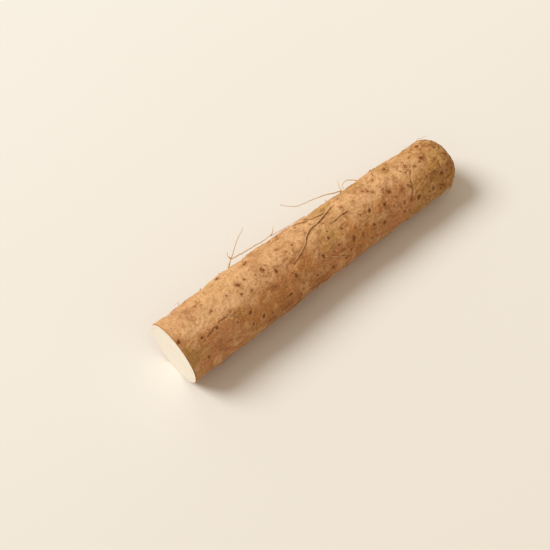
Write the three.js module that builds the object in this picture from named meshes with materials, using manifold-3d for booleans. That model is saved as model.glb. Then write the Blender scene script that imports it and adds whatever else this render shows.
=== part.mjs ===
// A length cut from a Chinese yam root, lying on its side, with its hair roots.
// Millimetres, +Z up. The root lies along +Y: the cut end faces -Y and the grown, rounded end +Y.
// The origin is at the middle of the bounding box, on the surface that the root rests on.

import * as THREE from "three";
import { mergeVertices } from "three/addons/utils/BufferGeometryUtils.js";
import Module from "manifold-3d";

// ---- driving dimensions ----

const LENGTH = 245; // from the cut face to the rounded end
const CUT_RADIUS = 23.3; // body radius at the cut, before its flare
const TAPER = 2.9; // how much the body radius falls by the rounded end
const FLARE = 0.45; // extra radius at the cut rim
const FLARE_LENGTH = 9;
const BELLY = 0.65; // gentle thickening of the body
const BELLY_AT = 62;
const BELLY_LENGTH = 26;
const DOME_DEPTH = 17; // length of the rounded end
const DOME_POWER = 2.4; // above 2, the shoulders are fuller than a round dome's
const BOW = 1.5; // sideways bend of the middle, towards -X
const REST_SINK = 0.8; // how much of the underside is pressed flat
const CUT_EDGE = 0.4; // rounding where the skin meets the cut face

// Low swellings and hollows of the root: distance from the cut and angle around the root
// (degrees, 0 at +X and 90 at the top), then height, half length and half spread in degrees.
const SWELLINGS = [
  [20, 150, -0.5, 16, 50],
  [105, 150, 0.8, 26, 50],
  [86, -20, 0.6, 14, 45],
  [118, -20, -0.5, 12, 40],
  [165, -20, 0.7, 18, 45],
  [220, 150, -0.6, 12, 45],
  [238, 140, 0.4, 7, 40],
  [228, -20, 0.6, 12, 45],
  [50, 70, 0.3, 10, 30],
  [135, 60, -0.35, 12, 30],
  [190, 80, 0.35, 9, 28],
  [60, 205, 0.5, 18, 40],
  [150, 215, -0.5, 20, 45],
];

const BODY_SIDES = 40;
const BODY_RINGS = 52;
const DOME_RINGS = 10;

const SKIN_GAP = 0.3; // clearance between a hair root and the skin
const ROOTLET_SIDES = 6;
const ROOTLET_STEP = 2; // length of one step along a hair root
const TIP_SHARE = 0.45; // tip thickness of a hair root as a share of its base
const BRANCH_SHARE = 0.8; // thickness of a branch as a share of its main strand

// Hair roots. Each route is a list of points on the root: distance from the cut, angle around
// the root in degrees, and height of the strand's underside above the skin.
const ROOTLETS = [
  {
    name: "rootlet_main_strand",
    radius: 0.45,
    routes: [
      [[146, 117, 0], [138, 109, 0], [131, 103, 0.2], [124, 101, 0], [116, 93, 0.3], [112, 83, 0],
        [105, 75, 0.2], [97, 68, 0]],
      [[143, 114, 0], [137, 114, 0.2], [130, 119, 0], [124, 126, 0.2], [118, 135, 0]],
    ],
  },
  {
    name: "rootlet_short_strand",
    radius: 0.4,
    routes: [
      [[152, 88, 0], [148, 89, 0.3], [144, 89, 0], [139, 87, 0.2], [135, 87, 0]],
    ],
  },
  {
    name: "rootlet_pale_thread",
    radius: 0.3,
    routes: [
      [[119, 44, 0], [124, 35, 0.3], [129, 25, 0.2], [134, 15, 0.4], [139, 5, 0.6]],
    ],
  },
  {
    name: "rootlet_lower_edge",
    radius: 0.45,
    routes: [
      [[147, -20, 3.2], [143, -21, 2], [138, -20, 0.9], [132, -18, 0.3], [125, -17, 0], [117, -14, 0.2],
        [110, -10, 0]],
    ],
  },
  {
    name: "rootlet_lower_run",
    radius: 0.4,
    routes: [
      [[96, -13, 0], [88, -17, 0.5], [80, -19, 0.9], [72, -20, 0.6], [64, -19, 0.3], [56, -21, 0]],
    ],
  },
  {
    name: "rootlet_free_arc",
    radius: 0.45,
    routes: [
      [[165, 150, 0], [161, 152, 1.4], [154, 153, 3.6], [146, 153, 5.6], [138, 154, 7.4], [131, 155, 9],
        [126, 154, 12], [122, 152, 16]],
      [[164, 151, 0.4], [165, 153, 4], [167, 154, 8.5]],
    ],
  },
  {
    name: "rootlet_forked",
    radius: 0.5,
    routes: [
      [[64, 150, 0], [67, 152, 2], [71, 154, 4.6], [76, 155, 8], [82, 154, 12], [89, 152, 16]],
      [[70, 154, 4.2], [77, 156, 3.2], [84, 156, 2], [91, 156, 1.5], [98, 156, 1.8], [105, 156, 1.2],
        [111, 155, 0.6], [118, 152, 0]],
      [[70, 154, 4.2], [69, 154, 6.8], [70, 152, 9.6]],
      [[103, 156, 1.3], [106, 156, 3.6], [108, 155, 6]],
    ],
  },
  {
    name: "rootlet_small_loop",
    radius: 0.35,
    routes: [
      [[178, 148, 0], [176, 152, 2.4], [172, 153, 4.2], [168, 153, 3.8], [166, 151, 1.6], [166, 149, 0.2]],
    ],
  },
  {
    name: "rootlet_end_hair",
    radius: 0.35,
    routes: [
      [[235, -12, 0], [234, -20, 0.8], [232, -27, 1.8], [229, -33, 2.4]],
    ],
  },
  {
    name: "rootlet_back_wave",
    radius: 0.45,
    routes: [
      [[52, 186, 0], [60, 182, 0.3], [68, 186, 0], [77, 193, 0.2], [85, 191, 0], [94, 185, 0.4],
        [103, 187, 0]],
    ],
  },
  {
    name: "rootlet_back_fork",
    radius: 0.45,
    routes: [
      [[196, 176, 0], [188, 180, 0.4], [179, 187, 0], [170, 191, 0.3], [160, 190, 0.9], [152, 194, 2.2]],
      [[179, 187, 0], [174, 180, 0.4], [168, 174, 1.2]],
    ],
  },
  {
    name: "rootlet_back_hook",
    radius: 0.4,
    routes: [
      [[132, 204, 0], [127, 208, 1.2], [121, 210, 2.6], [114, 207, 3.4], [110, 201, 2.6]],
    ],
  },
  {
    name: "rootlet_back_short",
    radius: 0.4,
    routes: [
      [[30, 172, 0], [36, 176, 0.6], [43, 177, 0], [49, 173, 0.3]],
    ],
  },
  {
    name: "rootlet_cut_end_curl",
    radius: 0.35,
    routes: [
      [[18, -24, 0], [22, -30, 1], [28, -34, 1.8], [34, -32, 1], [38, -28, 0.3]],
    ],
  },
  {
    name: "rootlet_front_run",
    radius: 0.4,
    routes: [
      [[206, -26, 0], [198, -30, 0.4], [189, -29, 0], [181, -33, 0.6], [173, -38, 1.4]],
    ],
  },
  {
    name: "rootlet_end_curl",
    radius: 0.35,
    routes: [
      [[224, 190, 0], [219, 196, 0.8], [213, 199, 1.4], [207, 196, 0.7], [203, 191, 0]],
    ],
  },
];

// ---- materials ----

const skinMaterial = new THREE.MeshStandardMaterial({ color: 0xbe8c5a, roughness: 0.72, metalness: 0 });
const rootletMaterial = new THREE.MeshStandardMaterial({ color: 0xc9a273, roughness: 0.8, metalness: 0 });

// ---- shape of the root ----

const radians = THREE.MathUtils.degToRad;

function bodyRadius(distance) {
  const belly = BELLY * Math.exp(-(((distance - BELLY_AT) / BELLY_LENGTH) ** 2));
  const flare = FLARE * Math.exp(-distance / FLARE_LENGTH);
  return CUT_RADIUS - (TAPER * distance) / LENGTH + belly + flare;
}

function domeShare(distance) {
  const along = THREE.MathUtils.clamp((distance - LENGTH + DOME_DEPTH) / DOME_DEPTH, 0, 1);
  return (1 - along ** DOME_POWER) ** (1 / DOME_POWER);
}

function swelling(distance, angle) {
  let height = 0;
  for (const [at, side, rise, halfLength, halfSpread] of SWELLINGS) {
    const turn = THREE.MathUtils.euclideanModulo(angle - radians(side) + Math.PI, 2 * Math.PI) - Math.PI;
    const along = (distance - at) / halfLength;
    const around = turn / radians(halfSpread);
    height += rise * Math.exp(-along * along - around * around);
  }
  return height;
}

// A point at some distance from the cut and angle around the root. reach is its radius there.
function placed(distance, angle, reach) {
  const sideways = -BOW * Math.sin((Math.PI * distance) / LENGTH);
  const middleHeight = bodyRadius(distance) - REST_SINK;
  return new THREE.Vector3(
    sideways + reach * Math.cos(angle),
    distance,
    middleHeight + reach * Math.sin(angle),
  );
}

// The root is a lathed profile, then bent, swollen and pressed flat where it rests.
function tuberGeometry() {
  const profile = [
    new THREE.Vector2(0, 0),
    new THREE.Vector2(bodyRadius(0) / 2, 0),
    new THREE.Vector2(bodyRadius(0) - CUT_EDGE, 0),
  ];
  const domeStart = LENGTH - DOME_DEPTH;
  for (let i = 0; i < BODY_RINGS; i += 1) {
    const distance = CUT_EDGE + ((domeStart - CUT_EDGE) * i) / BODY_RINGS;
    profile.push(new THREE.Vector2(bodyRadius(distance), distance));
  }
  for (let i = 0; i < DOME_RINGS; i += 1) {
    const distance = domeStart + DOME_DEPTH * Math.sin((Math.PI / 2) * (i / DOME_RINGS));
    profile.push(new THREE.Vector2(bodyRadius(distance) * domeShare(distance), distance));
  }
  profile.push(new THREE.Vector2(0, LENGTH));

  const geometry = new THREE.LatheGeometry(profile, BODY_SIDES);
  const position = geometry.getAttribute("position");
  for (let i = 0; i < position.count; i += 1) {
    const distance = position.getY(i);
    const angle = Math.atan2(position.getZ(i), position.getX(i));
    const lathed = Math.hypot(position.getX(i), position.getZ(i));
    const share = lathed / bodyRadius(distance);
    const point = placed(distance, angle, lathed + share * swelling(distance, angle));
    position.setXYZ(i, point.x, point.y, Math.max(point.z, 0));
  }
  return geometry;
}

// ---- hair roots ----

// A route's points in space, for a strand of this radius lying over the skin.
function strandCurve(route, radius) {
  const points = route.map(([distance, degrees, lift]) => {
    const angle = radians(degrees);
    const skin = bodyRadius(distance) * domeShare(distance) + swelling(distance, angle);
    return placed(distance, angle, skin + SKIN_GAP + radius + lift);
  });
  return new THREE.CatmullRomCurve3(points, false, "centripetal");
}

function roundSection(radius) {
  const corners = [];
  for (let i = 0; i < ROOTLET_SIDES; i += 1) {
    const angle = (2 * Math.PI * i) / ROOTLET_SIDES;
    corners.push(new THREE.Vector2(radius * Math.cos(angle), radius * Math.sin(angle)));
  }
  return new THREE.Shape(corners);
}

// A tube along the route that thins out towards its tip.
function strandGeometry(route, radius) {
  const curve = strandCurve(route, radius);
  const steps = Math.ceil(curve.getLength() / ROOTLET_STEP);
  const geometry = new THREE.ExtrudeGeometry(roundSection(radius), {
    steps,
    bevelEnabled: false,
    extrudePath: curve,
  });
  const centres = curve.getSpacedPoints(steps);
  const position = geometry.getAttribute("position");
  const point = new THREE.Vector3();
  for (let i = 0; i < position.count; i += 1) {
    point.fromBufferAttribute(position, i);
    const distances = centres.map((centre) => centre.distanceTo(point));
    const nearest = distances.indexOf(Math.min(...distances));
    const thickness = 1 - (1 - TIP_SHARE) * (nearest / steps);
    point.sub(centres[nearest]).multiplyScalar(thickness).add(centres[nearest]);
    position.setXYZ(i, point.x, point.y, point.z);
  }
  return geometry;
}

const wasm = await Module();
wasm.setup();

function solidFrom(geometry) {
  const bare = geometry.clone();
  bare.deleteAttribute("normal");
  bare.deleteAttribute("uv");
  const merged = mergeVertices(bare);
  return new wasm.Manifold(
    new wasm.Mesh({
      numProp: 3,
      vertProperties: merged.getAttribute("position").array,
      triVerts: new Uint32Array(merged.index.array),
    }),
  );
}

function geometryFrom(solid) {
  const mesh = solid.getMesh();
  const geometry = new THREE.BufferGeometry();
  geometry.setAttribute("position", new THREE.BufferAttribute(mesh.vertProperties, 3));
  geometry.setIndex(new THREE.BufferAttribute(mesh.triVerts, 1));
  geometry.computeVertexNormals();
  return geometry;
}

// A hair root with branches is its strands joined in one solid.
function rootletGeometry({ routes, radius }) {
  if (routes.length === 1) {
    return strandGeometry(routes[0], radius);
  }
  const [mainRoute, ...branchRoutes] = routes;
  let joined = solidFrom(strandGeometry(mainRoute, radius));
  for (const route of branchRoutes) {
    joined = joined.add(solidFrom(strandGeometry(route, radius * BRANCH_SHARE)));
  }
  return geometryFrom(joined);
}

// ---- assembly ----

const yam = new THREE.Group();
yam.name = "chinese_yam";

function addPiece(name, geometry, material) {
  const piece = new THREE.Mesh(geometry, material);
  piece.name = name;
  yam.add(piece);
}

addPiece("tuber", tuberGeometry(), skinMaterial);
for (const rootlet of ROOTLETS) {
  addPiece(rootlet.name, rootletGeometry(rootlet), rootletMaterial);
}

const middle = new THREE.Box3().setFromObject(yam, true).getCenter(new THREE.Vector3());
yam.position.set(-middle.x, -middle.y, 0);

export default yam;
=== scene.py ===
"""A cut length of Chinese yam root lying on a pale studio floor, laid out as a Blender add-on.

Metres, +Z up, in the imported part's frame. The root lies along +Y: the cut end faces -Y and the
grown, rounded end +Y. Its form is worked out in millimetres, as its sizes are given.
"""

import math
from functools import lru_cache

import bpy
import numpy as np
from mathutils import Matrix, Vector, noise
from mathutils.bvhtree import BVHTree


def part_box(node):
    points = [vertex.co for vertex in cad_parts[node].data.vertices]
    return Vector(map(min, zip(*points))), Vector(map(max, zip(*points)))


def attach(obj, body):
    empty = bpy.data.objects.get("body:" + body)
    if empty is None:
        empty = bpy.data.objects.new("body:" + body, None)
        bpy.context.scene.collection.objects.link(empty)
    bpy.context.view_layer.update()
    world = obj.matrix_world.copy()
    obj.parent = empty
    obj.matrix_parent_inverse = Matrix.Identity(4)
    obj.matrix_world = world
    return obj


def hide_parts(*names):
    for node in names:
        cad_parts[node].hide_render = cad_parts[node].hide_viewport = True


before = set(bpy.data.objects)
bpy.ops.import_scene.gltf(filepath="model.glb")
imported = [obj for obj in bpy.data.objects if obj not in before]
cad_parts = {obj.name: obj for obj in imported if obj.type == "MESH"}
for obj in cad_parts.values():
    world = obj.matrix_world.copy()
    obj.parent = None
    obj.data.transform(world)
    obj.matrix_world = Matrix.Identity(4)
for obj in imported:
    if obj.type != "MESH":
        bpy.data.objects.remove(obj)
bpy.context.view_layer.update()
TUBER_LOW, TUBER_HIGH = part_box("tuber")

bl_info = {
    "name": "Chinese yam",
    "version": (1, 0, 0),
    "blender": (4, 5, 0),
    "location": "3D View > Sidebar > Yam",
    "description": "Builds a cut length of Chinese yam root, its hair roots and a studio stage",
    "category": "Object",
}

MM = 0.001

# ---- form of the root, in millimetres and degrees ----

LENGTH = (TUBER_HIGH.y - TUBER_LOW.y) / MM
CUT_RADIUS = 23.3
TAPER = 2.9
FLARE, FLARE_LENGTH = 0.45, 9.0
BELLY, BELLY_AT, BELLY_LENGTH = 0.65, 62.0, 26.0
DOME_DEPTH, DOME_POWER = 17.0, 2.4
BOW = 1.5
REST_SINK = 0.8
CUT_EDGE = 0.4

# Low swellings and hollows: distance from the cut, angle around the root (0 at +X, 90 at the top),
# height, half length and half spread.
SWELLINGS = [
    (20, 150, -0.5, 16, 50),
    (105, 150, 0.8, 26, 50),
    (86, -20, 0.6, 14, 45),
    (118, -20, -0.5, 12, 40),
    (165, -20, 0.7, 18, 45),
    (220, 150, -0.6, 12, 45),
    (238, 140, 0.4, 7, 40),
    (228, -20, 0.6, 12, 45),
    (50, 70, 0.3, 10, 30),
    (135, 60, -0.35, 12, 30),
    (190, 80, 0.35, 9, 28),
    (60, 205, 0.5, 18, 40),
    (150, 215, -0.5, 20, 45),
]

# ---- mesh of the root ----

SIDES = 228
BODY_CUTS = (17, 19)  # two passes of lengthwise cuts: 18 x 20 bands
DOME_RINGS = 36
FACE_RINGS = 14
PEEL = 0.25  # skin seen edge on, around the cut face

# ---- scars where hair roots have dropped off ----

SCAR_SEED = 11
# The scars that show most: distance from the cut, angle and radius.
CLEAR_SCARS = [
    (14, 138, 1.2), (27, 111, 1.4), (32, 86, 1.5), (52, 139, 1.2), (57, 93, 1.4),
    (62, 71, 1.2), (42, 66, 1.1), (28, 59, 1.2), (51, 24, 1.1), (16, 60, 1.0),
    (2, 77, 1.5), (14, 26, 1.1), (77, 90, 1.7), (84, 74, 1.3), (94, 47, 1.6),
    (105, 96, 1.2), (84, 25, 1.2), (53, 44, 1.4), (42, 45, 1.0), (72, 122, 1.4),
    (60, 24, 1.6), (94, 18, 1.1), (108, 22, 1.3), (122, 12, 1.3), (118, 46, 1.3),
    (139, 22, 1.2), (128, 67, 1.1), (140, 67, 1.0), (144, 38, 1.9), (151, 33, 1.7),
    (163, 22, 1.3), (170, 27, 1.7), (162, 37, 1.2), (154, 123, 1.3), (150, 100, 1.1),
    (148, 88, 1.0), (164, 64, 1.4), (170, 101, 1.1), (176, 56, 1.2), (182, 43, 1.2),
    (195, 118, 1.6), (182, 112, 1.1), (184, 71, 1.7), (190, 38, 1.6), (226, 122, 1.7),
    (234, 94, 1.7), (220, 91, 1.6), (217, 86, 1.2), (207, 95, 1.5), (212, 82, 1.3),
    (199, 58, 1.4), (188, 19, 1.5), (202, 28, 1.9), (208, 8, 1.4), (216, 24, 1.7),
    (222, 11, 1.4), (226, 40, 1.8),
]
LARGE_SCARS, LARGE_RADIUS, LARGE_SPACING = 62, (1.0, 1.8), 11.0
SMALL_SCARS, SMALL_RADIUS, SMALL_SPACING = 280, (0.45, 0.85), 3.6
SHOWING = (-0.45, 2.8)  # angles, in radians, where no large scar is added to the clear ones
SCAR_MARGIN = 4.0  # no scattered scar lies nearer to either end
SCAR_BIAS = 0.72  # below 1, there are more scars towards the far end
FAR_REACH = 5.0  # reach given to skin that is away from every scar

WRINKLE = 0.46  # height of the ridges where the skin is wrinkled
WRINKLE_SIZE = (3.4, 7.0)  # their size across and along the root
WEAR = (200, 230)  # the skin turns from smooth to worn between these distances from the cut

# Creases: half width and depth, then points as distance from the cut and angle.
CREASES = [
    (0.7, 0.45, [(208, 104), (205, 92), (207, 80), (202, 64), (200, 48), (195, 30), (192, 14)]),
    (0.6, 0.35, [(211, 122), (208, 112), (208, 100)]),
    (0.6, 0.35, [(20, 56), (25, 60), (32, 64), (40, 64)]),
    (0.6, 0.40, [(225, 84), (229, 68), (227, 54), (231, 38)]),
    (0.6, 0.30, [(236, 76), (238, 54), (235, 34)]),
    (0.7, 0.40, [(220, 26), (224, 18), (226, 8), (232, 2), (233, -8)]),
    (0.6, 0.35, [(219, 62), (223, 48), (221, 34)]),
    (0.6, 0.30, [(241, 60), (236, 46), (230, 40)]),
    (0.7, 0.40, [(212, 150), (208, 170), (211, 192), (207, 214)]),
    (0.6, 0.35, [(236, 150), (233, 172), (236, 196)]),
    (0.6, 0.35, [(236, 232), (234, 262), (237, 300)]),
    (0.6, 0.35, [(64, 172), (70, 186), (68, 204)]),
    (0.6, 0.30, [(152, -14), (155, -34), (151, -52)]),
]

# ---- hair roots ----

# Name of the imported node, radius, then routes over the skin: distance, angle and lift above it.
ROOTLETS = [
    ("rootlet_main_strand", 0.6, [
        [(146, 117, 0), (138, 109, 0), (131, 103, 0.2), (124, 101, 0), (116, 93, 0.3),
         (112, 83, 0), (105, 75, 0.2), (97, 68, 0)],
        [(143, 114, 0), (137, 114, 0.2), (130, 119, 0), (124, 126, 0.2), (118, 135, 0)],
    ]),
    ("rootlet_short_strand", 0.4, [
        [(152, 88, 0), (148, 89, 0.3), (144, 89, 0), (139, 87, 0.2), (135, 87, 0)],
    ]),
    ("rootlet_pale_thread", 0.3, [
        [(119, 44, 0), (124, 35, 0.3), (129, 25, 0.2), (134, 15, 0.4), (139, 5, 0.6)],
    ]),
    ("rootlet_lower_edge", 0.45, [
        [(147, -20, 3.2), (143, -21, 2), (138, -20, 0.9), (132, -18, 0.3), (125, -17, 0),
         (117, -14, 0.2), (110, -10, 0)],
    ]),
    ("rootlet_lower_run", 0.4, [
        [(96, -13, 0), (88, -17, 0.5), (80, -19, 0.9), (72, -20, 0.6), (64, -19, 0.3),
         (56, -21, 0)],
    ]),
    ("rootlet_free_arc", 0.45, [
        [(165, 150, 0), (161, 152, 1.4), (154, 153, 3.6), (146, 153, 5.6), (138, 154, 7.4),
         (131, 155, 9), (126, 154, 12), (122, 152, 16)],
        [(164, 151, 0.4), (165, 153, 4), (167, 154, 8.5)],
    ]),
    ("rootlet_forked", 0.5, [
        [(64, 150, 0), (67, 152, 2), (71, 154, 4.6), (76, 155, 8), (82, 154, 12), (89, 152, 16)],
        [(70, 154, 4.2), (77, 156, 3.2), (84, 156, 2), (91, 156, 1.5), (98, 156, 1.8),
         (105, 156, 1.2), (111, 155, 0.6), (118, 152, 0)],
        [(70, 154, 4.2), (69, 154, 6.8), (70, 152, 9.6)],
        [(103, 156, 1.3), (106, 156, 3.6), (108, 155, 6)],
    ]),
    ("rootlet_small_loop", 0.35, [
        [(178, 148, 0), (176, 152, 2.4), (172, 153, 4.2), (168, 153, 3.8), (166, 151, 1.6),
         (166, 149, 0.2)],
    ]),
    ("rootlet_end_hair", 0.35, [
        [(235, -12, 0), (234, -20, 0.8), (232, -27, 1.8), (229, -33, 2.4)],
    ]),
    ("rootlet_back_wave", 0.45, [
        [(52, 186, 0), (60, 182, 0.3), (68, 186, 0), (77, 193, 0.2), (85, 191, 0), (94, 185, 0.4),
         (103, 187, 0)],
    ]),
    ("rootlet_back_fork", 0.45, [
        [(196, 176, 0), (188, 180, 0.4), (179, 187, 0), (170, 191, 0.3), (160, 190, 0.9),
         (152, 194, 2.2)],
        [(179, 187, 0), (174, 180, 0.4), (168, 174, 1.2)],
    ]),
    ("rootlet_back_hook", 0.4, [
        [(132, 204, 0), (127, 208, 1.2), (121, 210, 2.6), (114, 207, 3.4), (110, 201, 2.6)],
    ]),
    ("rootlet_back_short", 0.4, [
        [(30, 172, 0), (36, 176, 0.6), (43, 177, 0), (49, 173, 0.3)],
    ]),
    ("rootlet_cut_end_curl", 0.35, [
        [(18, -24, 0), (22, -30, 1), (28, -34, 1.8), (34, -32, 1), (38, -28, 0.3)],
    ]),
    ("rootlet_front_run", 0.4, [
        [(206, -26, 0), (198, -30, 0.4), (189, -29, 0), (181, -33, 0.6), (173, -38, 1.4)],
    ]),
    ("rootlet_end_curl", 0.35, [
        [(224, 190, 0), (219, 196, 0.8), (213, 199, 1.4), (207, 196, 0.7), (203, 191, 0)],
    ]),
]
THICKEN = 1.1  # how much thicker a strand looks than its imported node
BRANCH_SHARE = 0.8  # thickness of a branch as a share of its main strand
TIP_SHARE = 0.35  # tip thickness as a share of the base
FLOOR_GAP = 0.5  # the lowest that the middle of a hair goes
EDGE_GAP = 0.5  # the nearest to either end that a hair goes
CAST_HEIGHT = 12  # how far over the plain form the finished skin is looked for
SAMPLES_PER_SPAN = 8
WIGGLE, WIGGLE_LENGTH = 0.35, 5.0
SWAY = 0.9  # sideways bends of a strand that stands off the skin

HAIR_SEED = 5
HAIR_LENGTH, HAIR_RADIUS, HAIR_STEP = (7, 26), (0.11, 0.2), 1.1
HAIR_SPREAD = 0.8  # radians below the sides that a fine hair reaches
STUB_RISE, STUB_RADIUS = (0.4, 1.6), (0.2, 0.34)
END_MARGIN = 8.0  # no fine hair or stub lies nearer to the rounded end

# ---- light and background ----

KEY_FROM = (-0.53, -0.45, 0.72)
KEY_SOFTNESS = 30  # degrees
KEY_COLOUR = (0.96, 0.985, 1)
SURROUND = (1, 0.84, 0.68, 1)
BACKDROP = (0.88, 0.81, 0.71, 1)


# ---- settings ----


class YamSkinSettings(bpy.types.PropertyGroup):
    tan: bpy.props.FloatVectorProperty(
        name="Tan", description="Main colour of the skin", subtype="COLOR", size=4,
        min=0, max=1, default=(0.545, 0.236, 0.072, 1))
    # also the painted light on the top of the root
    pale: bpy.props.FloatVectorProperty(
        name="Pale", description="Lighter patches of the skin", subtype="COLOR", size=4,
        min=0, max=1, default=(0.735, 0.434, 0.204, 1))
    ochre: bpy.props.FloatVectorProperty(
        name="Ochre", description="Yellow-green patches of the skin", subtype="COLOR", size=4,
        min=0, max=1, default=(0.52, 0.300, 0.088, 1))
    rose: bpy.props.FloatVectorProperty(
        name="Rose", description="Pinkish patches of the skin", subtype="COLOR", size=4,
        min=0, max=1, default=(0.60, 0.268, 0.112, 1))
    # also the painted shade on the lower side of the root and the painted shadow beside hair roots
    russet: bpy.props.FloatVectorProperty(
        name="Russet", description="Red-brown patches of the skin", subtype="COLOR", size=4,
        min=0, max=1, default=(0.30, 0.103, 0.027, 1))
    brown: bpy.props.FloatVectorProperty(
        name="Brown", description="Mottling and specks on the skin", subtype="COLOR", size=4,
        min=0, max=1, default=(0.33, 0.118, 0.028, 1))
    # also the painted shade in the creases
    scar: bpy.props.FloatVectorProperty(
        name="Scar", description="Dark middle of a root scar", subtype="COLOR", size=4,
        min=0, max=1, default=(0.15, 0.051, 0.011, 1))
    flesh: bpy.props.FloatVectorProperty(
        name="Flesh", description="Colour of the cut face", subtype="COLOR", size=4,
        min=0, max=1, default=(0.86, 0.797, 0.695, 1))
    hair: bpy.props.FloatVectorProperty(
        name="Hair roots", description="Colour of the hair roots", subtype="COLOR", size=4,
        min=0, max=1, default=(0.59, 0.332, 0.132, 1))


class YamReliefSettings(bpy.types.PropertyGroup):
    lump: bpy.props.FloatProperty(
        name="Lumps", description="Height of the broad lumps", unit="LENGTH", min=0,
        default=1.9 * MM)
    uneven: bpy.props.FloatProperty(
        name="Unevenness", description="Height of the middling unevenness", unit="LENGTH", min=0,
        default=1.3 * MM)
    grain: bpy.props.FloatProperty(
        name="Grain", description="Height of the fine grain", unit="LENGTH", min=0,
        default=0.75 * MM)
    pit: bpy.props.FloatProperty(
        name="Scar pit", description="Depth of a scar's middle", unit="LENGTH", min=0,
        default=0.5 * MM)
    collar: bpy.props.FloatProperty(
        name="Scar collar", description="Height of the collar round a scar", unit="LENGTH",
        min=0, default=0.25 * MM)


class YamHairSettings(bpy.types.PropertyGroup):
    long_hairs: bpy.props.IntProperty(
        name="Long hairs", description="How many fine hairs lie along the root", min=0, default=70)
    stub_share: bpy.props.FloatProperty(
        name="Stub share", description="Share of the scars with a broken hair root",
        subtype="FACTOR", min=0, max=1, default=0.4)


class YamStageSettings(bpy.types.PropertyGroup):
    azimuth: bpy.props.FloatProperty(
        name="Azimuth", description="Where the camera stands round the root", subtype="ANGLE",
        default=math.radians(49.8))
    elevation: bpy.props.FloatProperty(
        name="Elevation", description="How far the camera looks down", subtype="ANGLE",
        default=math.radians(60.8))
    distance: bpy.props.FloatProperty(
        name="Distance", description="Camera to the point that it looks at", unit="LENGTH",
        min=0.1, default=0.903)
    aim: bpy.props.FloatVectorProperty(
        name="Aim", description="Point on the floor that the camera looks at", unit="LENGTH",
        size=3, default=(-5.6 * MM, -25.5 * MM, 0))
    lens: bpy.props.FloatProperty(
        name="Lens", description="Focal length in millimetres", min=1, default=85)
    floor: bpy.props.FloatVectorProperty(
        name="Floor", description="Colour of the floor", subtype="COLOR", size=4, min=0, max=1,
        default=(0.865, 0.85, 0.795, 1))
    key_strength: bpy.props.FloatProperty(
        name="Key light", description="Strength of the main light", min=0, default=2.62)
    fill_strength: bpy.props.FloatProperty(
        name="Fill light", description="Strength of the light from all round", min=0,
        default=0.52)


# ---- form of the root ----


def body_radius(distance):
    belly = BELLY * np.exp(-(((distance - BELLY_AT) / BELLY_LENGTH) ** 2))
    flare = FLARE * np.exp(-distance / FLARE_LENGTH)
    return CUT_RADIUS - TAPER * distance / LENGTH + belly + flare


def dome_share(distance):
    along = np.clip((distance - LENGTH + DOME_DEPTH) / DOME_DEPTH, 0, 1)
    return (1 - along**DOME_POWER) ** (1 / DOME_POWER)


def swelling(distance, angle):
    height = np.zeros(np.broadcast(distance, angle).shape)
    for at, side, rise, half_length, half_spread in SWELLINGS:
        turn = np.mod(angle - math.radians(side) + math.pi, 2 * math.pi) - math.pi
        along = (distance - at) / half_length
        around = turn / math.radians(half_spread)
        height = height + rise * np.exp(-along * along - around * around)
    return height


def placed(distance, angle, reach):
    """Points in millimetres at a distance from the cut, an angle and a reach from the middle."""
    sideways = -BOW * np.sin(math.pi * distance / LENGTH)
    middle_height = body_radius(distance) - REST_SINK
    across = sideways + reach * np.cos(angle)
    height = middle_height + reach * np.sin(angle)
    return np.stack(np.broadcast_arrays(across, distance, height), axis=-1)


def plain_skin(distance, angle):
    reach = body_radius(distance) * dome_share(distance) + swelling(distance, angle)
    return placed(distance, angle, reach)


def side_shift():
    """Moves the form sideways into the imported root's place, in millimetres."""
    distance, angle = np.meshgrid(np.linspace(0, LENGTH, 400), np.linspace(-0.6, 0.6, 60))
    return TUBER_HIGH.x / MM - plain_skin(distance, angle)[..., 0].max()


SIDE_SHIFT = side_shift()


def to_frame(points):
    """Millimetres of the form to metres of the part's frame."""
    return (np.asarray(points) + (SIDE_SHIFT, TUBER_LOW.y / MM, 0)) * MM


# ---- small helpers ----


def only(piece):
    """Makes a piece the only one selected, and the active one."""
    bpy.ops.object.select_all(action="DESELECT")
    piece.select_set(True)
    bpy.context.view_layer.objects.active = piece


def name_new(name):
    piece = bpy.context.object
    piece.name = name
    piece.data.name = name
    return piece


def coordinates(mesh):
    found = np.empty(len(mesh.vertices) * 3)
    mesh.vertices.foreach_get("co", found)
    return found.reshape(-1, 3)


def normals(mesh):
    found = np.empty(len(mesh.vertices) * 3, np.float32)
    mesh.vertices.foreach_get("normal", found)
    return found.reshape(-1, 3).astype(float)


def set_coordinates(mesh, points):
    mesh.vertices.foreach_set("co", np.asarray(points, np.float32).ravel())
    mesh.update()


def smooth(value, low, high):
    """Rises smoothly from 0 at low to 1 at high."""
    share = np.clip((value - low) / (high - low), 0, 1)
    return share * share * (3 - 2 * share)


def paint(mesh, name, values):
    """Stores one number per vertex for the materials to read."""
    layer = mesh.attributes.new(name, "FLOAT", "POINT")
    layer.data.foreach_set("value", np.asarray(values, np.float32))


def edit_edges(mesh, chosen):
    """Enters edit mode with only these edges selected."""
    bpy.context.tool_settings.mesh_select_mode = (False, True, False)
    for kind in (mesh.vertices, mesh.edges, mesh.polygons):
        kind.foreach_set("select", np.zeros(len(kind), bool))
    mesh.edges.foreach_set("select", chosen)
    bpy.ops.object.mode_set(mode="EDIT")


def finish_piece(piece, slot, *replaced):
    """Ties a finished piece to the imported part."""
    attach(piece, "root")
    if replaced:
        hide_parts(*replaced)


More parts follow.
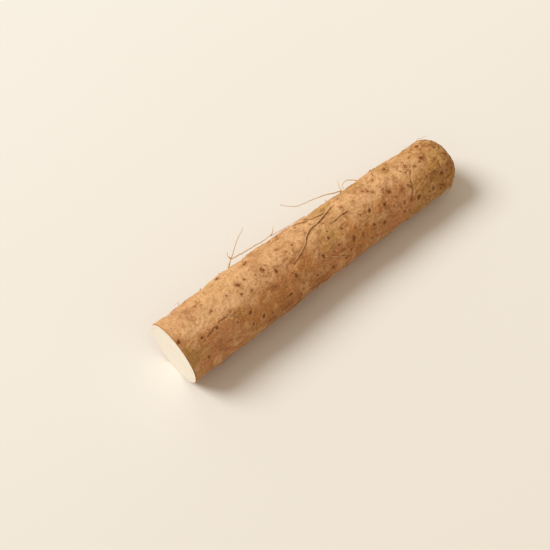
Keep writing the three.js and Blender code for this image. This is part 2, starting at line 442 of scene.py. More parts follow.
class Nodes:
    """A short way to write a material's node tree."""

    def __init__(self, name):
        self.material = bpy.data.materials.new(name)
        self.material.use_nodes = True
        self.tree = self.material.node_tree
        self.shader = self.tree.nodes["Principled BSDF"]
        self.place = self.add("ShaderNodeTexCoord").outputs["Object"]

    def add(self, kind, **values):
        node = self.tree.nodes.new(kind)
        for name, value in values.items():
            setattr(node, name, value)
        return node

    def put(self, socket, value):
        """Links an output to a socket, or sets the socket's value."""
        if isinstance(value, bpy.types.NodeSocket):
            self.tree.links.new(value, socket)
        else:
            socket.default_value = value

    def noise(self, scale, detail=3.0, rough=0.55, place=None):
        node = self.add("ShaderNodeTexNoise")
        self.put(node.inputs["Vector"], place or self.place)
        self.put(node.inputs["Scale"], scale)
        self.put(node.inputs["Detail"], detail)
        self.put(node.inputs["Roughness"], rough)
        return node.outputs["Fac"]

    def moved(self, offset, stretch=(1, 1, 1)):
        node = self.add("ShaderNodeMapping")
        self.put(node.inputs["Vector"], self.place)
        self.put(node.inputs["Location"], offset)
        self.put(node.inputs["Scale"], stretch)
        return node.outputs["Vector"]

    def attribute(self, name):
        return self.add("ShaderNodeAttribute", attribute_name=name).outputs["Fac"]

    def span(self, value, low, high, to_low=0.0, to_high=1.0):
        node = self.add("ShaderNodeMapRange", interpolation_type="SMOOTHSTEP")
        for socket, given in zip(node.inputs, (value, low, high, to_low, to_high)):
            self.put(socket, given)
        return node.outputs["Result"]

    def math(self, operation, first, second):
        node = self.add("ShaderNodeMath", operation=operation)
        self.put(node.inputs[0], first)
        self.put(node.inputs[1], second)
        return node.outputs["Value"]

    def times(self, first, second):
        return self.math("MULTIPLY", first, second)

    def patches(self, scale, low, high, most=1.0, shift=None, stretch=(1, 1, 1), **kind):
        """Soft-edged patches of a cloud pattern, from 0 between them to most inside them."""
        place = self.moved(shift, stretch) if shift else self.place
        return self.span(self.noise(scale, place=place, **kind), low, high, 0, most)

    def mix(self, share, first, second):
        node = self.add("ShaderNodeMix", data_type="RGBA")
        self.put(node.inputs["Factor"], share)
        self.put(node.inputs["A"], first)
        self.put(node.inputs["B"], second)
        return node.outputs["Result"]

    def bump(self, height, distance, strength, below=None):
        node = self.add("ShaderNodeBump")
        self.put(node.inputs["Height"], height)
        self.put(node.inputs["Distance"], distance)
        self.put(node.inputs["Strength"], strength)
        if below is not None:
            self.put(node.inputs["Normal"], below)
        return node.outputs["Normal"]

    def surface(self, **values):
        for name, value in values.items():
            self.put(self.shader.inputs[name.replace("_", " ")], value)
        return self.material


# ---- materials ----


def skin_patches(n, tone, along):
    """Broad colours: painted light makes the top pale and painted shade makes the lower side
    russet, with rose, ochre and russet patches.
    """
    drift = n.times(n.math("SUBTRACT", n.noise(34, 3, 0.6), 0.5), 1.6)
    # painted light: the top of the root is made pale by its angle round the root
    painted_top_light = n.span(n.math("ADD", n.attribute("painted_top_light"), drift), 0.1, 0.9)
    colour = n.mix(painted_top_light, tone.tan, tone.pale)
    # painted shade: the lower side is made russet by its angle round the root
    under = n.span(n.math("ADD", n.attribute("painted_underside_shade"), drift), 0.1, 0.9, 0, 0.85)
    colour = n.mix(under, colour, tone.russet)
    # flank is the sides and lower side, away from the painted top light; near the cut they are
    # painted browner
    flank = n.span(painted_top_light, 0.15, 0.75, 1, 0)
    near_cut = n.times(n.span(along, -0.11, -0.05, 1, 0), flank)
    colour = n.mix(n.times(near_cut, 0.5), colour, tone.brown)
    rose = n.patches(27, 0.44, 0.60, shift=(0.5, 0.9, 0.4), rough=0.6)
    rose = n.times(rose, n.math("ADD", n.times(flank, 0.6), 0.3))
    colour = n.mix(rose, colour, tone.rose)
    wear = n.attribute("end_wear")
    far = n.span(along, -0.03, 0.10, -0.06, 0.06)
    ochre = n.math("ADD", n.noise(30, place=n.moved((0.3, 0.1, 0.7))), far)
    ochre = n.math("MAXIMUM", n.span(ochre, 0.48, 0.62, 0, 0.8), n.times(wear, 0.75))
    colour = n.mix(ochre, colour, tone.ochre)
    russet = n.patches(52, 0.52, 0.70, 0.6, shift=(0.9, 0.4, 0.2), detail=4, rough=0.62)
    colour = n.mix(russet, colour, tone.russet)
    bright = n.patches(95, 0.50, 0.68, 0.8, shift=(0.1, 0.8, 0.3), rough=0.6)
    colour = n.mix(bright, colour, tone.pale)
    worn = n.patches(95, 0.48, 0.62, shift=(0.6, 0.1, 0.9), detail=4, rough=0.65)
    return n.mix(n.times(n.times(worn, wear), 0.6), colour, tone.russet)


def skin_grain(n, tone, along, colour):
    """Mottling, streaks, specks and shaded folds over the broad colours."""
    coarse = n.span(along, -0.11, 0.08, 0.28, 0.72)
    mottle = n.times(n.patches(210, 0.46, 0.68, detail=4, rough=0.65), coarse)
    colour = n.mix(mottle, colour, tone.brown)
    streak = n.patches(330, 0.54, 0.70, 0.45, shift=(0, 0, 0), stretch=(1, 0.2, 1), rough=0.6)
    colour = n.mix(streak, colour, tone.pale)
    speck = n.patches(620, 0.52, 0.62, 0.4, shift=(0.2, 0.6, 0.5), rough=0.6)
    colour = n.mix(speck, colour, tone.brown)
    crumb = n.patches(780, 0.53, 0.64, 0.4, shift=(0.7, 0.2, 0.1), detail=2, rough=0.5)
    colour = n.mix(crumb, colour, tone.pale)
    shade = n.span(n.noise(260, 2, place=n.moved((0.8, 0.8, 0.3))), 0.35, 0.6, 0.25, 0.9)
    return n.mix(n.times(n.attribute("fold"), shade), colour, tone.brown)


def skin_marks(n, tone, colour):
    """Scars, painted shade in the creases, the painted shadow beside hair roots and the edge of the
    skin at the cut.
    """
    ragged = n.times(n.math("SUBTRACT", n.noise(600, 3, 0.6), 0.5), 2.0)
    reach = n.math("ADD", n.attribute("scar_reach"), ragged)
    strength, ringed = n.attribute("scar_tone"), n.attribute("scar_ring")
    halo = n.times(n.span(reach, 1.0, 2.7, 1, 0), strength)
    colour = n.mix(n.times(halo, 0.7), colour, tone.brown)
    rim = n.times(n.span(reach, 0.8, 1.2), n.span(reach, 1.3, 1.9, 1, 0))
    colour = n.mix(n.times(rim, n.span(ringed, 0, 1, 0.25, 0.6)), colour, tone.pale)
    middle = n.times(n.span(reach, 0.3, 1.0, 1, 0), strength)
    core = n.times(n.span(reach, 0.1, 0.5, 0.8, 0), ringed)
    colour = n.mix(n.times(middle, n.math("SUBTRACT", 1, core)), colour, tone.scar)
    # painted shade: the creases are darkened towards the scar colour
    colour = n.mix(n.span(n.attribute("crease"), 0.2, 0.8, 0, 0.6), colour, tone.scar)
    # painted shadow of the hair roots that hug the skin, laid on in russet
    beside = n.math("ADD", n.attribute("painted_strand_shadow"), n.times(ragged, 0.2))
    colour = n.mix(n.times(n.span(beside, 0.25, 0.9), 0.55), colour, tone.russet)
    return n.mix(n.times(n.attribute("peel"), 0.75), colour, tone.russet)


def skin_material():
    tone = bpy.context.scene.yam_skin
    n = Nodes("yam_skin")
    split = n.add("ShaderNodeSeparateXYZ")
    n.put(split.inputs["Vector"], n.place)
    along = split.outputs["Y"]
    colour = skin_grain(n, tone, along, skin_patches(n, tone, along))
    normal = n.bump(n.noise(520, 5, 0.7), 0.7 * MM, 0.9)
    normal = n.bump(n.noise(1150, 3, 0.6), 0.3 * MM, 0.9, normal)
    rough = n.span(n.noise(300, 2), 0.3, 0.7, 0.62, 0.82)
    return n.surface(
        Base_Color=skin_marks(n, tone, colour), Roughness=rough, Specular_IOR_Level=0.1,
        Normal=normal)


def flesh_material():
    tone = bpy.context.scene.yam_skin
    n = Nodes("yam_flesh")
    colour = n.mix(n.patches(150, 0.35, 0.7, 0.5), tone.flesh, (0.82, 0.735, 0.585, 1))
    fibres = n.add("ShaderNodeTexVoronoi", feature="F1")
    n.put(fibres.inputs["Vector"], n.place)
    n.put(fibres.inputs["Scale"], 420)
    dot = n.span(fibres.outputs["Distance"], 0.1, 0.32, 0.5, 0)
    colour = n.mix(dot, colour, (0.72, 0.62, 0.45, 1))
    inward = n.attribute("rim_distance")
    band = n.times(n.span(inward, 1.2, 2.0), n.span(inward, 2.4, 3.4, 1, 0))
    colour = n.mix(n.times(band, 0.3), colour, (0.72, 0.62, 0.45, 1))
    colour = n.mix(n.span(inward, 0.25, 0.9, 0.6, 0), colour, (0.70, 0.55, 0.33, 1))
    knife = n.noise(500, 2, 0.5, n.moved((0, 0, 0), (0.12, 1, 1)))
    normal = n.bump(knife, 0.08 * MM, 0.6)
    normal = n.bump(fibres.outputs["Distance"], 0.05 * MM, 0.4, normal)
    rough = n.span(n.noise(240, 2), 0.3, 0.7, 0.36, 0.5)
    n.shader.inputs["Subsurface Radius"].default_value = (0.9, 0.6, 0.35)
    return n.surface(
        Base_Color=colour, Roughness=rough, Specular_IOR_Level=0.4, Normal=normal,
        Subsurface_Weight=0.25, Subsurface_Scale=3 * MM)


def hair_material():
    tone = bpy.context.scene.yam_skin
    n = Nodes("yam_hair")
    colour = n.mix(n.patches(160, 0.4, 0.62), tone.hair, (0.66, 0.43, 0.21, 1))
    dark = n.patches(520, 0.55, 0.7, 0.45, shift=(0.4, 0.4, 0.1), detail=2)
    colour = n.mix(dark, colour, tone.brown)
    # painted highlight: strands that stand off the skin are painted paler
    colour = n.mix(n.times(n.attribute("painted_loose_highlight"), 0.7), colour, (0.76, 0.60, 0.39, 1))
    normal = n.bump(n.noise(2200, 2), 0.08 * MM, 0.6)
    return n.surface(Base_Color=colour, Roughness=0.72, Specular_IOR_Level=0.3, Normal=normal)


def stub_material():
    tone = bpy.context.scene.yam_skin
    n = Nodes("yam_stub")
    colour = n.mix(n.patches(600, 0.4, 0.6, detail=2), tone.scar, tone.russet)
    normal = n.bump(n.noise(1800, 2), 0.08 * MM, 0.6)
    return n.surface(Base_Color=colour, Roughness=0.8, Specular_IOR_Level=0.25, Normal=normal)


def floor_material():
    stage = bpy.context.scene.yam_stage
    n = Nodes("studio_floor")
    split = n.add("ShaderNodeSeparateXYZ")
    n.put(split.inputs["Vector"], n.place)
    # painted shade: the floor is lighter towards -X, the key light's side, and darker towards +X
    across = n.math("ADD", split.outputs["X"], n.times(n.noise(3, 2), 0.1))
    shade = [level * part for level, part in zip(stage.floor, (0.90, 0.875, 0.84, 1))]
    colour = n.mix(n.span(across, -0.35, 0.42), stage.floor, shade)
    normal = n.bump(n.noise(900, 2), 0.02 * MM, 0.3)
    return n.surface(Base_Color=colour, Roughness=0.85, Specular_IOR_Level=0.2, Normal=normal)


# ---- root body ----


@lru_cache
def scar_places():
    """Every scar as distance, angle and radius: the bold ones first, then scattered ones."""
    rng = np.random.default_rng(SCAR_SEED)
    places = [(at, math.radians(side), size) for at, side, size in CLEAR_SCARS]
    spots = [plain_skin(at, side) for at, side, _ in places]
    for count, sizes, spacing in (
        (LARGE_SCARS, LARGE_RADIUS, LARGE_SPACING),
        (SMALL_SCARS, SMALL_RADIUS, SMALL_SPACING),
    ):
        added = 0
        while added < count:
            share = rng.random() ** SCAR_BIAS
            distance = SCAR_MARGIN + (LENGTH - 2 * SCAR_MARGIN) * share
            angle = rng.uniform(-math.pi, math.pi)
            size = rng.uniform(*sizes)
            if sizes is LARGE_RADIUS and SHOWING[0] < angle < SHOWING[1]:
                continue
            here = plain_skin(distance, angle)
            near = np.linalg.norm(np.array(spots) - here, axis=1).min()
            if near > spacing * rng.uniform(0.45, 1.0):
                places.append((distance, angle, size))
                spots.append(here)
                added += 1
    return places


def add_cylinder():
    """A lying cylinder with even bands along it, and rings of faces on both ends."""
    bpy.ops.object.select_all(action="DESELECT")
    bpy.ops.mesh.primitive_cylinder_add(
        vertices=SIDES, radius=CUT_RADIUS * MM, depth=(LENGTH - DOME_DEPTH) * MM,
        end_fill_type="NGON", location=(0, (LENGTH - DOME_DEPTH) / 2 * MM, 0),
        rotation=(math.radians(-90), 0, 0))
    root = name_new("yam_root")
    bpy.ops.object.transform_apply(location=True, rotation=True, scale=True)
    for cuts in BODY_CUTS:
        points = coordinates(root.data)
        ends = np.empty(len(root.data.edges) * 2, int)
        root.data.edges.foreach_get("vertices", ends)
        first, second = points[ends.reshape(-1, 2)].transpose(1, 0, 2)
        lengthwise = np.abs(first[:, 1] - second[:, 1]) > 0.1 * MM
        edit_edges(root.data, lengthwise)
        bpy.ops.mesh.subdivide(number_cuts=cuts)
        bpy.ops.object.mode_set(mode="OBJECT")
    for side, rings in ((-1, FACE_RINGS), (1, DOME_RINGS)):
        inset_end(root, side, rings)
    return root


def inset_end(root, side, rings):
    """Insets the end face that looks along +Y or -Y into rings, and pokes its middle."""
    bpy.context.tool_settings.mesh_select_mode = (False, False, True)
    for face in root.data.polygons:
        face.select = len(face.vertices) > 4 and face.normal.y * side > 0.9
    bpy.ops.object.mode_set(mode="EDIT")
    thickness = CUT_RADIUS * MM / (rings + 1)
    for _ in range(rings):
        bpy.ops.mesh.inset(thickness=thickness, depth=0)
    bpy.ops.mesh.poke()
    bpy.ops.object.mode_set(mode="OBJECT")


def grow(root):
    """Moves the cylinder's vertices onto the root's form. Returns each one's distance and angle."""
    points = coordinates(root.data) / MM
    angle = np.arctan2(points[:, 2], points[:, 0])
    ring = np.clip(np.hypot(points[:, 0], points[:, 2]) / CUT_RADIUS, 0, 1)
    body_end = LENGTH - DOME_DEPTH
    on_dome = points[:, 1] > body_end - 0.01
    on_face = points[:, 1] < 0.01
    climb = np.sin((1 - ring) * math.pi / 2)
    distance = np.where(on_dome, body_end + DOME_DEPTH * climb, points[:, 1])
    share = np.where(on_face, ring, dome_share(distance))
    rounded = CUT_EDGE * (1 - np.sqrt(np.clip(1 - (1 - distance / CUT_EDGE) ** 2, 0, 1)))
    # The rounded edge between the skin and the cut face, then the ragged rim that a knife leaves.
    edge = np.where((distance < CUT_EDGE) & ~on_face, rounded, 0)
    edge = np.where(on_face, CUT_EDGE * ring, edge)
    ragged = np.array([noise.noise(Vector((9 * math.cos(a), 9 * math.sin(a), 0))) for a in angle])
    edge = edge + np.clip(ragged, 0, 1) * 0.5 * np.where(on_face, ring, smooth(-distance, -1.6, 0))
    reach = share * (body_radius(distance) - edge + swelling(distance, angle))
    grown = placed(distance, angle, reach)
    grown[:, 2] = np.maximum(grown[:, 2], 0)
    set_coordinates(root.data, to_frame(grown))
    inward = np.where(on_face, (1 - ring) * CUT_RADIUS, 0)
    return distance, angle, on_face, inward


def displace(root, name, size, depth, height, group):
    """Raises and lowers the skin with a cloud pattern."""
    pattern = bpy.data.textures.new(name, "CLOUDS")
    pattern.noise_scale = size * MM
    pattern.noise_depth = depth
    raised = root.modifiers.new(name, "DISPLACE")
    raised.texture = pattern
    raised.texture_coords = "LOCAL"
    raised.strength = height
    raised.mid_level = 0.5
    raised.vertex_group = group
    bpy.ops.object.modifier_apply(modifier=name)


def sculpt_scars(root, skin):
    """Presses the scars and their collars into the skin.

    Returns how near a scar each vertex is, how dark that scar is, and whether it is ringed.
    """
    relief = bpy.context.scene.yam_relief
    rng = np.random.default_rng(SCAR_SEED + 1)
    mesh = root.data
    points, outward = coordinates(mesh), normals(mesh)
    reach = np.full(len(points), FAR_REACH)
    tone = np.zeros(len(points))
    ring = np.zeros(len(points))
    height = np.zeros(len(points))
    along_root = np.array((0, 1, 0))
    for distance, angle, radius in scar_places():
        middle = to_frame(plain_skin(distance, angle))
        out = np.array((math.cos(angle), 0, math.sin(angle)))
        across = np.cross(out, along_root)
        turn = rng.normal(0, 0.5)
        stretch = rng.uniform(1.0, 1.7)
        long_way = math.cos(turn) * across + math.sin(turn) * along_root
        close = np.nonzero(np.abs(points - middle).max(axis=1) < 6 * radius * MM)[0]
        away = points[close] - middle
        stretched = away - np.outer(away @ long_way, long_way) * (1 - 1 / stretch)
        near = np.linalg.norm(stretched, axis=1) / (radius * MM)
        # Small scars are shallow, and one in three has a knob left in its pit.
        depth = rng.uniform(0.5, 1.1) * min(1, radius / 1.3)
        collar = rng.uniform(0.4, 1.2) * min(1, radius / 1.3)
        knob = rng.choice((0, 0, 0.8)) * depth
        height[close] -= relief.pit * depth * np.exp(-((near / 0.75) ** 2))
        height[close] += relief.pit * knob * np.exp(-((near / 0.4) ** 2))
        height[close] += relief.collar * collar * np.exp(-(((near - 1.35) / 0.45) ** 2))
        closer = near < reach[close]
        tone[close[closer]] = rng.uniform(0.45, 1.0)
        ring[close[closer]] = knob > 0
        reach[close[closer]] = near[closer]
    set_coordinates(mesh, points + outward * (height * skin)[:, None])
    return reach, tone, ring


def nearness(points, corners, width):
    """How near vertices lie to a path over the skin, in half widths, and which ones are near.

    The path is given as distances from the cut and angles in degrees.
    """
    corners = np.array(corners, float)
    steps = np.linspace(0, len(corners) - 1, 16 * len(corners))
    whole = np.arange(len(corners))
    distance = np.interp(steps, whole, corners[:, 0])
    angle = np.radians(np.interp(steps, whole, corners[:, 1]))
    line = to_frame(plain_skin(distance, angle))
    low, high = line.min(axis=0) - 5 * width * MM, line.max(axis=0) + 5 * width * MM
    close = np.nonzero(((points > low) & (points < high)).all(axis=1))[0]
    near = np.full(len(close), 1.0)
    for spot in line:
        near = np.minimum(near, np.linalg.norm(points[close] - spot, axis=1))
    return close, near / (width * MM)


def painted_strand_shadows(root):
    """How much painted shadow each vertex of the skin gets from lying under or beside a hair root
    that hugs it.
    """
    points = coordinates(root.data)
    shade = np.zeros(len(points))
    for _, radius, routes in ROOTLETS:
        for route in routes:
            hugging = [corner for corner in route if corner[2] < 0.7]
            if len(hugging) > 2:
                close, near = nearness(points, hugging, 2.6 * radius)
                shade[close] = np.maximum(shade[close], np.exp(-(near**2)))
    return shade


def sculpt_creases(root, skin):
    """Presses the creases into the skin and returns how deep in one each vertex lies."""
    mesh = root.data
    points, outward = coordinates(mesh), normals(mesh)
    deep = np.zeros(len(points))
    height = np.zeros(len(points))
    for width, depth, corners in CREASES:
        close, near = nearness(points, corners, width)
        fade = 0.85 + 0.5 * np.array([noise.noise(Vector(p) / (5 * MM)) for p in points[close]])
        valley = np.exp(-(near**2)) * fade
        height[close] -= depth * MM * valley
        height[close] += 0.4 * depth * MM * np.exp(-(((near - 2) / 0.9) ** 2)) * fade
        deep[close] = np.maximum(deep[close], valley)
    set_coordinates(mesh, points + outward * (height * skin)[:, None])
    return deep


def sculpt_wrinkles(root, share):
    """Raises ridges where the skin is wrinkled. Returns how deep in a fold each vertex lies."""
    mesh = root.data
    points, outward = coordinates(mesh), normals(mesh)
    ridge = np.full(len(points), 1.3)
    for i in np.nonzero(share > 0.01)[0]:
        x, y, z = points[i] / MM
        place = Vector((x / WRINKLE_SIZE[0], y / WRINKLE_SIZE[1], z / WRINKLE_SIZE[0]))
        ridge[i] = noise.ridged_multi_fractal(place, 0.9, 2.1, 3, 1.0, 2.0)
    height = (ridge - 1.3) * share * WRINKLE * MM
    set_coordinates(mesh, points + outward * height[:, None])
    return smooth(-ridge, -1.0, -0.55) * share


class YAM_OT_root(bpy.types.Operator):
    """Builds the root: a cut cylinder grown into shape, with its scars, creases and two surfaces"""

    bl_idname = "yam.root"
    bl_label = "Root"
    bl_options = {"REGISTER", "UNDO"}

    def execute(self, context):
        relief = context.scene.yam_relief
        root = add_cylinder()
        distance, angle, on_face, inward = grow(root)
        mesh = root.data
        skin = np.clip((distance - CUT_EDGE) / 3, 0, 1) * np.where(on_face, 0, 1)
        resting = np.clip(coordinates(mesh)[:, 2] / (2.5 * MM), 0, 1)
        skin = skin * resting
        group = root.vertex_groups.new(name="skin")
        for level in range(1, 11):
            chosen = np.nonzero(np.round(skin * 10).astype(int) == level)[0]
            group.add(chosen.tolist(), level / 10, "REPLACE")
        only(root)
        displace(root, "lumps", 17, 1, relief.lump, "skin")
        displace(root, "unevenness", 6, 2, relief.uneven, "skin")
        displace(root, "grain", 1.7, 1, relief.grain, "skin")
        wear = smooth(distance, *WEAR)
        patch = np.array([noise.noise(Vector(p) / (16 * MM)) for p in coordinates(mesh)])
        wrinkled = skin * np.maximum(wear, 0.7 * smooth(patch, 0.12, 0.45))
        fold = sculpt_wrinkles(root, wrinkled)
        crease = sculpt_creases(root, skin)
        reach, tone, ring = sculpt_scars(root, skin)
        settled = coordinates(mesh)
        settled[:, 2] = np.maximum(settled[:, 2], 0)
        set_coordinates(mesh, settled)
        side = np.degrees(angle)
        painted = {
            "scar_reach": reach,
            "scar_tone": tone,
            "scar_ring": ring,
            "crease": crease,
            "fold": fold,
            # painted light on the top and painted shade on the lower side, set by the angle round
            # the root
            "painted_top_light": smooth(side, 35, 100) * smooth(-side, -200, -150),
            "painted_underside_shade": np.maximum(smooth(-side, -30, 5), smooth(side, 172, 180)),
            "end_wear": wear,
            # painted shadow under and beside the hair roots that hug the skin
            "painted_strand_shadow": painted_strand_shadows(root),
            "rim_distance": inward,
            "peel": np.where(on_face, 1, np.clip(1 - distance / 1.2, 0, 1)),
        }
        for name, values in painted.items():
            paint(mesh, name, values)
        root.vertex_groups.clear()
        mesh.materials.append(skin_material())
        mesh.materials.append(flesh_material())
        for face in mesh.polygons:
            first = inward[face.vertices[0]]
            deepest = max(inward[v] for v in face.vertices)
            face.material_index = int(first > PEEL or deepest > PEEL and first > 0)
        only(root)
        bpy.ops.object.shade_smooth_by_angle(angle=math.radians(40))
        finish_piece(root, "skin", "tuber")
        return {"FINISHED"}


# ---- hair roots ----


def skin_tree():
    root = bpy.data.objects["yam_root"]
    bpy.context.view_layer.update()
    return BVHTree.FromObject(root, bpy.context.evaluated_depsgraph_get())


def smooth_route(route):
    """A route's points with smooth ones between them."""
    corners = np.array(route, float)
    padded = np.vstack([2 * corners[0] - corners[1], corners, 2 * corners[-1] - corners[-2]])
    found = []
    for i in range(len(corners) - 1):
        a, b, c, d = padded[i : i + 4]
        last = i == len(corners) - 2
        for t in np.linspace(0, 1, SAMPLES_PER_SPAN + 1)[: None if last else -1]:
            found.append(0.5 * (2 * b + (c - a) * t + (2 * a - 5 * b + 4 * c - d) * t**2
                                + (3 * b - a - 3 * c + d) * t**3))
    return np.array(found)


def over_skin(tree, distance, angle, lift):
    """The point at this lift, in millimetres, over the finished skin."""
    distance = min(max(distance, EDGE_GAP), LENGTH - EDGE_GAP)
    out = Vector((math.cos(angle), 0, math.sin(angle)))
    start = Vector(to_frame(plain_skin(distance, angle))) + out * CAST_HEIGHT * MM
    hit = tree.ray_cast(start, -out)[0]
    if hit is None:
        raise RuntimeError(f"no skin under {distance:.1f} mm, {math.degrees(angle):.0f} degrees")
    place = hit + out * lift * MM
    place.z = max(place.z, FLOOR_GAP * MM)
    return place


def strand_points(tree, route, radius, start_lift):
    """Points along one hair root, with the small bends that a dry root has."""
    points = []
    samples = smooth_route(route)
    for i, (distance, degrees, lift) in enumerate(samples):
        seat = Vector((distance, degrees, lift)) / WIGGLE_LENGTH
        bend = noise.noise_vector(seat + Vector((radius * 90, 0, 0)))
        ends = min(1.0, i / 4)
        shifted = distance + WIGGLE * bend.x * ends
        slow = noise.noise_vector(seat / 2.5 + Vector((0, 0, radius * 70)))
        sway = WIGGLE * bend.y + SWAY * min(max(lift, 0), 3) * slow.y
        turned = math.radians(degrees) + sway * ends / CUT_RADIUS
        low = start_lift if i == 0 else 0.6 * radius
        raised = max(lift, 0) + low + 0.25 * abs(bend.z) * ends
        points.append(over_skin(tree, shifted, turned, raised))
    return points


def add_strands(name, strands, sides):
    """One curve of several tapering strands, made a mesh. A strand is points and their radii."""
    bpy.ops.object.select_all(action="DESELECT")
    bpy.ops.curve.primitive_nurbs_path_add()
    piece = name_new(name)
    curve = piece.data
    curve.splines.clear()
    curve.dimensions = "3D"
    curve.bevel_depth = 1
    curve.bevel_resolution = max(0, sides // 2 - 2)
    curve.use_fill_caps = True
    for points, radii in strands:
        spline = curve.splines.new("POLY")
        spline.points.add(len(points) - 1)
        for knot, place, radius in zip(spline.points, points, radii):
            knot.co = (*place, 1)
            knot.radius = radius * MM
    bpy.ops.object.convert(target="MESH")
    piece = bpy.context.object
    bpy.ops.object.transform_apply(location=True, rotation=True, scale=True)
    bpy.ops.object.shade_smooth_by_angle(angle=math.radians(50))
    return piece


def paint_loose(piece, tree):
    """Paints how far each vertex of the strands stands off the skin, for the painted highlight on
    strands that stand off it.
    """
    lifts = [tree.find_nearest(vertex.co)[3] / MM for vertex in piece.data.vertices]
    paint(piece.data, "painted_loose_highlight", smooth(np.array(lifts), 1.2, 4.0))


def tapered(count, base, tip):
    """Radii along a strand: a small collar where it leaves the skin, then an even taper."""
    along = np.linspace(0, 1, count)
    return (base + (tip - base) * along) * (1 + 0.35 * np.exp(-along * count / 1.5))


class YAM_OT_rootlets(bpy.types.Operator):
    """Builds the hair roots that the part names, each as its own piece over the finished skin"""

    bl_idname = "yam.rootlets"
    bl_label = "Hair roots"
    bl_options = {"REGISTER", "UNDO"}

    def execute(self, context):
        noise.seed_set(HAIR_SEED)
        tree = skin_tree()
        material = hair_material()
        for node, radius, routes in ROOTLETS:
            strands = []
            for order, route in enumerate(routes):
                if route[0][2] > route[-1][2] and not order:
                    route = route[::-1]  # a strand starts where it leaves the skin
                base = THICKEN * radius * (BRANCH_SHARE if order else 1)
                on_skin = route[0][2] == 0
                points = strand_points(tree, route, base, -0.4 if on_skin else 0.6 * base)
                strands.append((points, tapered(len(points), base, base * TIP_SHARE)))
            piece = add_strands(node.replace("rootlet", "hair_root"), strands, 8)
            paint_loose(piece, tree)
            piece.data.materials.append(material)
            finish_piece(piece, "rootlet", node)
        return {"FINISHED"}


def wandering_hair(tree, rng):
    """A fine hair that starts on the skin and wanders along it, sometimes lifting off."""
    length = rng.uniform(*HAIR_LENGTH)
    steps = int(length / HAIR_STEP)
    distance = rng.uniform(8, LENGTH - 12)
    angle = rng.uniform(-0.75, math.pi + 0.75)
    heading = rng.choice((0, math.pi)) + rng.normal(0, 0.6)
    lifting = rng.choice((0, 0, 1)) * rng.uniform(0.05, 0.3)
    turn = rng.normal(0, 0.05)
    points, lift = [], 0.0
    for i in range(steps):
        points.append(over_skin(tree, distance, angle, -0.3 if i == 0 else 0.12 + lift))
        turn = 0.8 * turn + rng.normal(0, 0.06)
        heading += turn
        distance = min(max(distance + HAIR_STEP * math.cos(heading), 2), LENGTH - END_MARGIN)
        angle = angle + HAIR_STEP * math.sin(heading) / CUT_RADIUS
        angle = min(max(angle, -HAIR_SPREAD), math.pi + HAIR_SPREAD)
        lift += lifting + 0.12 * math.sin(i * 0.9 + length)
        lift = max(lift, 0)
    return points


class YAM_OT_fine_hairs(bpy.types.Operator):
    """Builds the fine hairs and the broken stubs of hair roots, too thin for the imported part"""

    bl_idname = "yam.fine_hairs"
    bl_label = "Fine hairs and stubs"
    bl_options = {"REGISTER", "UNDO"}

    def execute(self, context):
        settings = context.scene.yam_hair
        rng = np.random.default_rng(HAIR_SEED)
        tree = skin_tree()
        hairs = []
        for _ in range(settings.long_hairs):
            points = wandering_hair(tree, rng)
            base = rng.uniform(*HAIR_RADIUS)
            hairs.append((points, tapered(len(points), base, base * TIP_SHARE)))
        piece = add_strands("fine_hairs", hairs, 4)
        paint_loose(piece, tree)
        piece.data.materials.append(hair_material())
        finish_piece(piece, "rootlet")

        stubs = []
        for distance, angle, radius in scar_places():
            low = abs(angle + math.pi / 2) < HAIR_SPREAD
            if rng.random() > settings.stub_share or low or distance > LENGTH - END_MARGIN:
                continue
            rise = rng.uniform(*STUB_RISE)
            lean = rng.normal(0, 0.9, 2)
            points = []
            for part in (0, 0.4, 0.75, 1):
                along, around = lean * part
                points.append(over_skin(
                    tree, distance + along, angle + around / CUT_RADIUS, rise * part - 0.25))
            base = rng.uniform(*STUB_RADIUS)
            stubs.append((points, [base, base * 0.9, base * 0.75, base * 0.45]))
        piece = add_strands("root_stubs", stubs, 6)
        piece.data.materials.append(stub_material())
        finish_piece(piece, "rootlet")
        return {"FINISHED"}


# ---- stage ----


def add_sun(name, come_from, strength, colour, softness):
    bpy.ops.object.light_add(type="SUN", location=come_from)
    lamp = name_new(name)
    lamp.rotation_euler = Vector(come_from).to_track_quat("Z", "Y").to_euler()
    lamp.data.energy = strength
    lamp.data.color = colour
    lamp.data.angle = math.radians(softness)
    return lamp


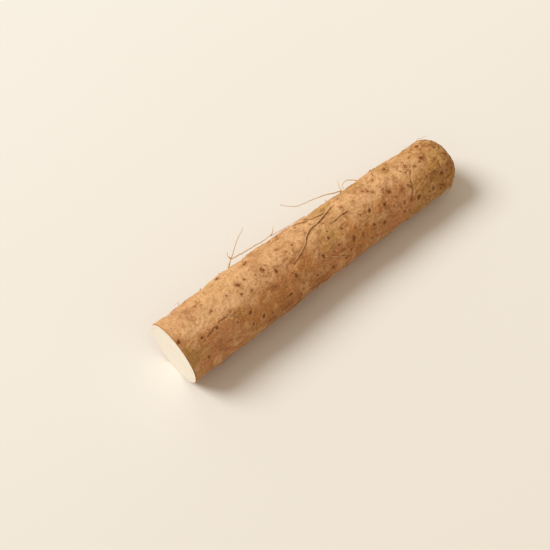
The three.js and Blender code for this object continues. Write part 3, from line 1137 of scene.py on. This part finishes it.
class YAM_OT_stage(bpy.types.Operator):
    """Builds the floor, the lights and the camera"""

    bl_idname = "yam.stage"
    bl_label = "Stage"
    bl_options = {"REGISTER", "UNDO"}

    def execute(self, context):
        stage = context.scene.yam_stage
        bpy.ops.object.select_all(action="DESELECT")
        bpy.ops.mesh.primitive_plane_add(size=60)
        floor = name_new("studio_floor")
        floor.data.materials.append(floor_material())

        add_sun("key_light", KEY_FROM, stage.key_strength, KEY_COLOUR, KEY_SOFTNESS)
        world = bpy.data.worlds.new("studio")
        context.scene.world = world
        world.use_nodes = True
        links, nodes = world.node_tree.links, world.node_tree.nodes
        surround = nodes["Background"]
        surround.inputs["Color"].default_value = SURROUND
        surround.inputs["Strength"].default_value = stage.fill_strength
        seen = nodes.new("ShaderNodeBackground")
        seen.inputs["Color"].default_value = BACKDROP
        ray, choice = nodes.new("ShaderNodeLightPath"), nodes.new("ShaderNodeMixShader")
        links.new(ray.outputs["Is Camera Ray"], choice.inputs["Fac"])
        links.new(surround.outputs["Background"], choice.inputs[1])
        links.new(seen.outputs["Background"], choice.inputs[2])
        links.new(choice.outputs["Shader"], nodes["World Output"].inputs["Surface"])
        context.scene.view_settings.view_transform = "Standard"

        a, e = stage.azimuth, stage.elevation
        back = Vector((math.sin(a) * math.cos(e), -math.cos(a) * math.cos(e), math.sin(e)))
        bpy.ops.object.camera_add(location=Vector(stage.aim) + back * stage.distance)
        camera = name_new("camera")
        camera.rotation_euler = back.to_track_quat("Z", "Y").to_euler()
        camera.data.lens = stage.lens
        context.scene.camera = camera
        return {"FINISHED"}


class YAM_PT_panel(bpy.types.Panel):
    """Lists the builder's steps and settings"""

    bl_idname = "YAM_PT_panel"
    bl_label = "Chinese yam"
    bl_space_type = "VIEW_3D"
    bl_region_type = "UI"
    bl_category = "Yam"

    def draw(self, context):
        for step in STEPS:
            self.layout.operator(step.bl_idname)
        for group, kind in SETTINGS.items():
            box = self.layout.box()
            for name in kind.__annotations__:
                box.prop(getattr(context.scene, group), name)


STEPS = (YAM_OT_stage, YAM_OT_root, YAM_OT_rootlets, YAM_OT_fine_hairs)
SETTINGS = {
    "yam_skin": YamSkinSettings,
    "yam_relief": YamReliefSettings,
    "yam_hair": YamHairSettings,
    "yam_stage": YamStageSettings,
}


def register():
    for kind in (*SETTINGS.values(), *STEPS, YAM_PT_panel):
        bpy.utils.register_class(kind)
    for name, kind in SETTINGS.items():
        setattr(bpy.types.Scene, name, bpy.props.PointerProperty(type=kind))


def unregister():
    for name in SETTINGS:
        delattr(bpy.types.Scene, name)
    for kind in reversed((*SETTINGS.values(), *STEPS, YAM_PT_panel)):
        bpy.utils.unregister_class(kind)


def main():
    register()
    bpy.ops.yam.stage()
    bpy.ops.yam.root()
    bpy.ops.yam.rootlets()
    bpy.ops.yam.fine_hairs()


if __name__ == "__main__":
    main()
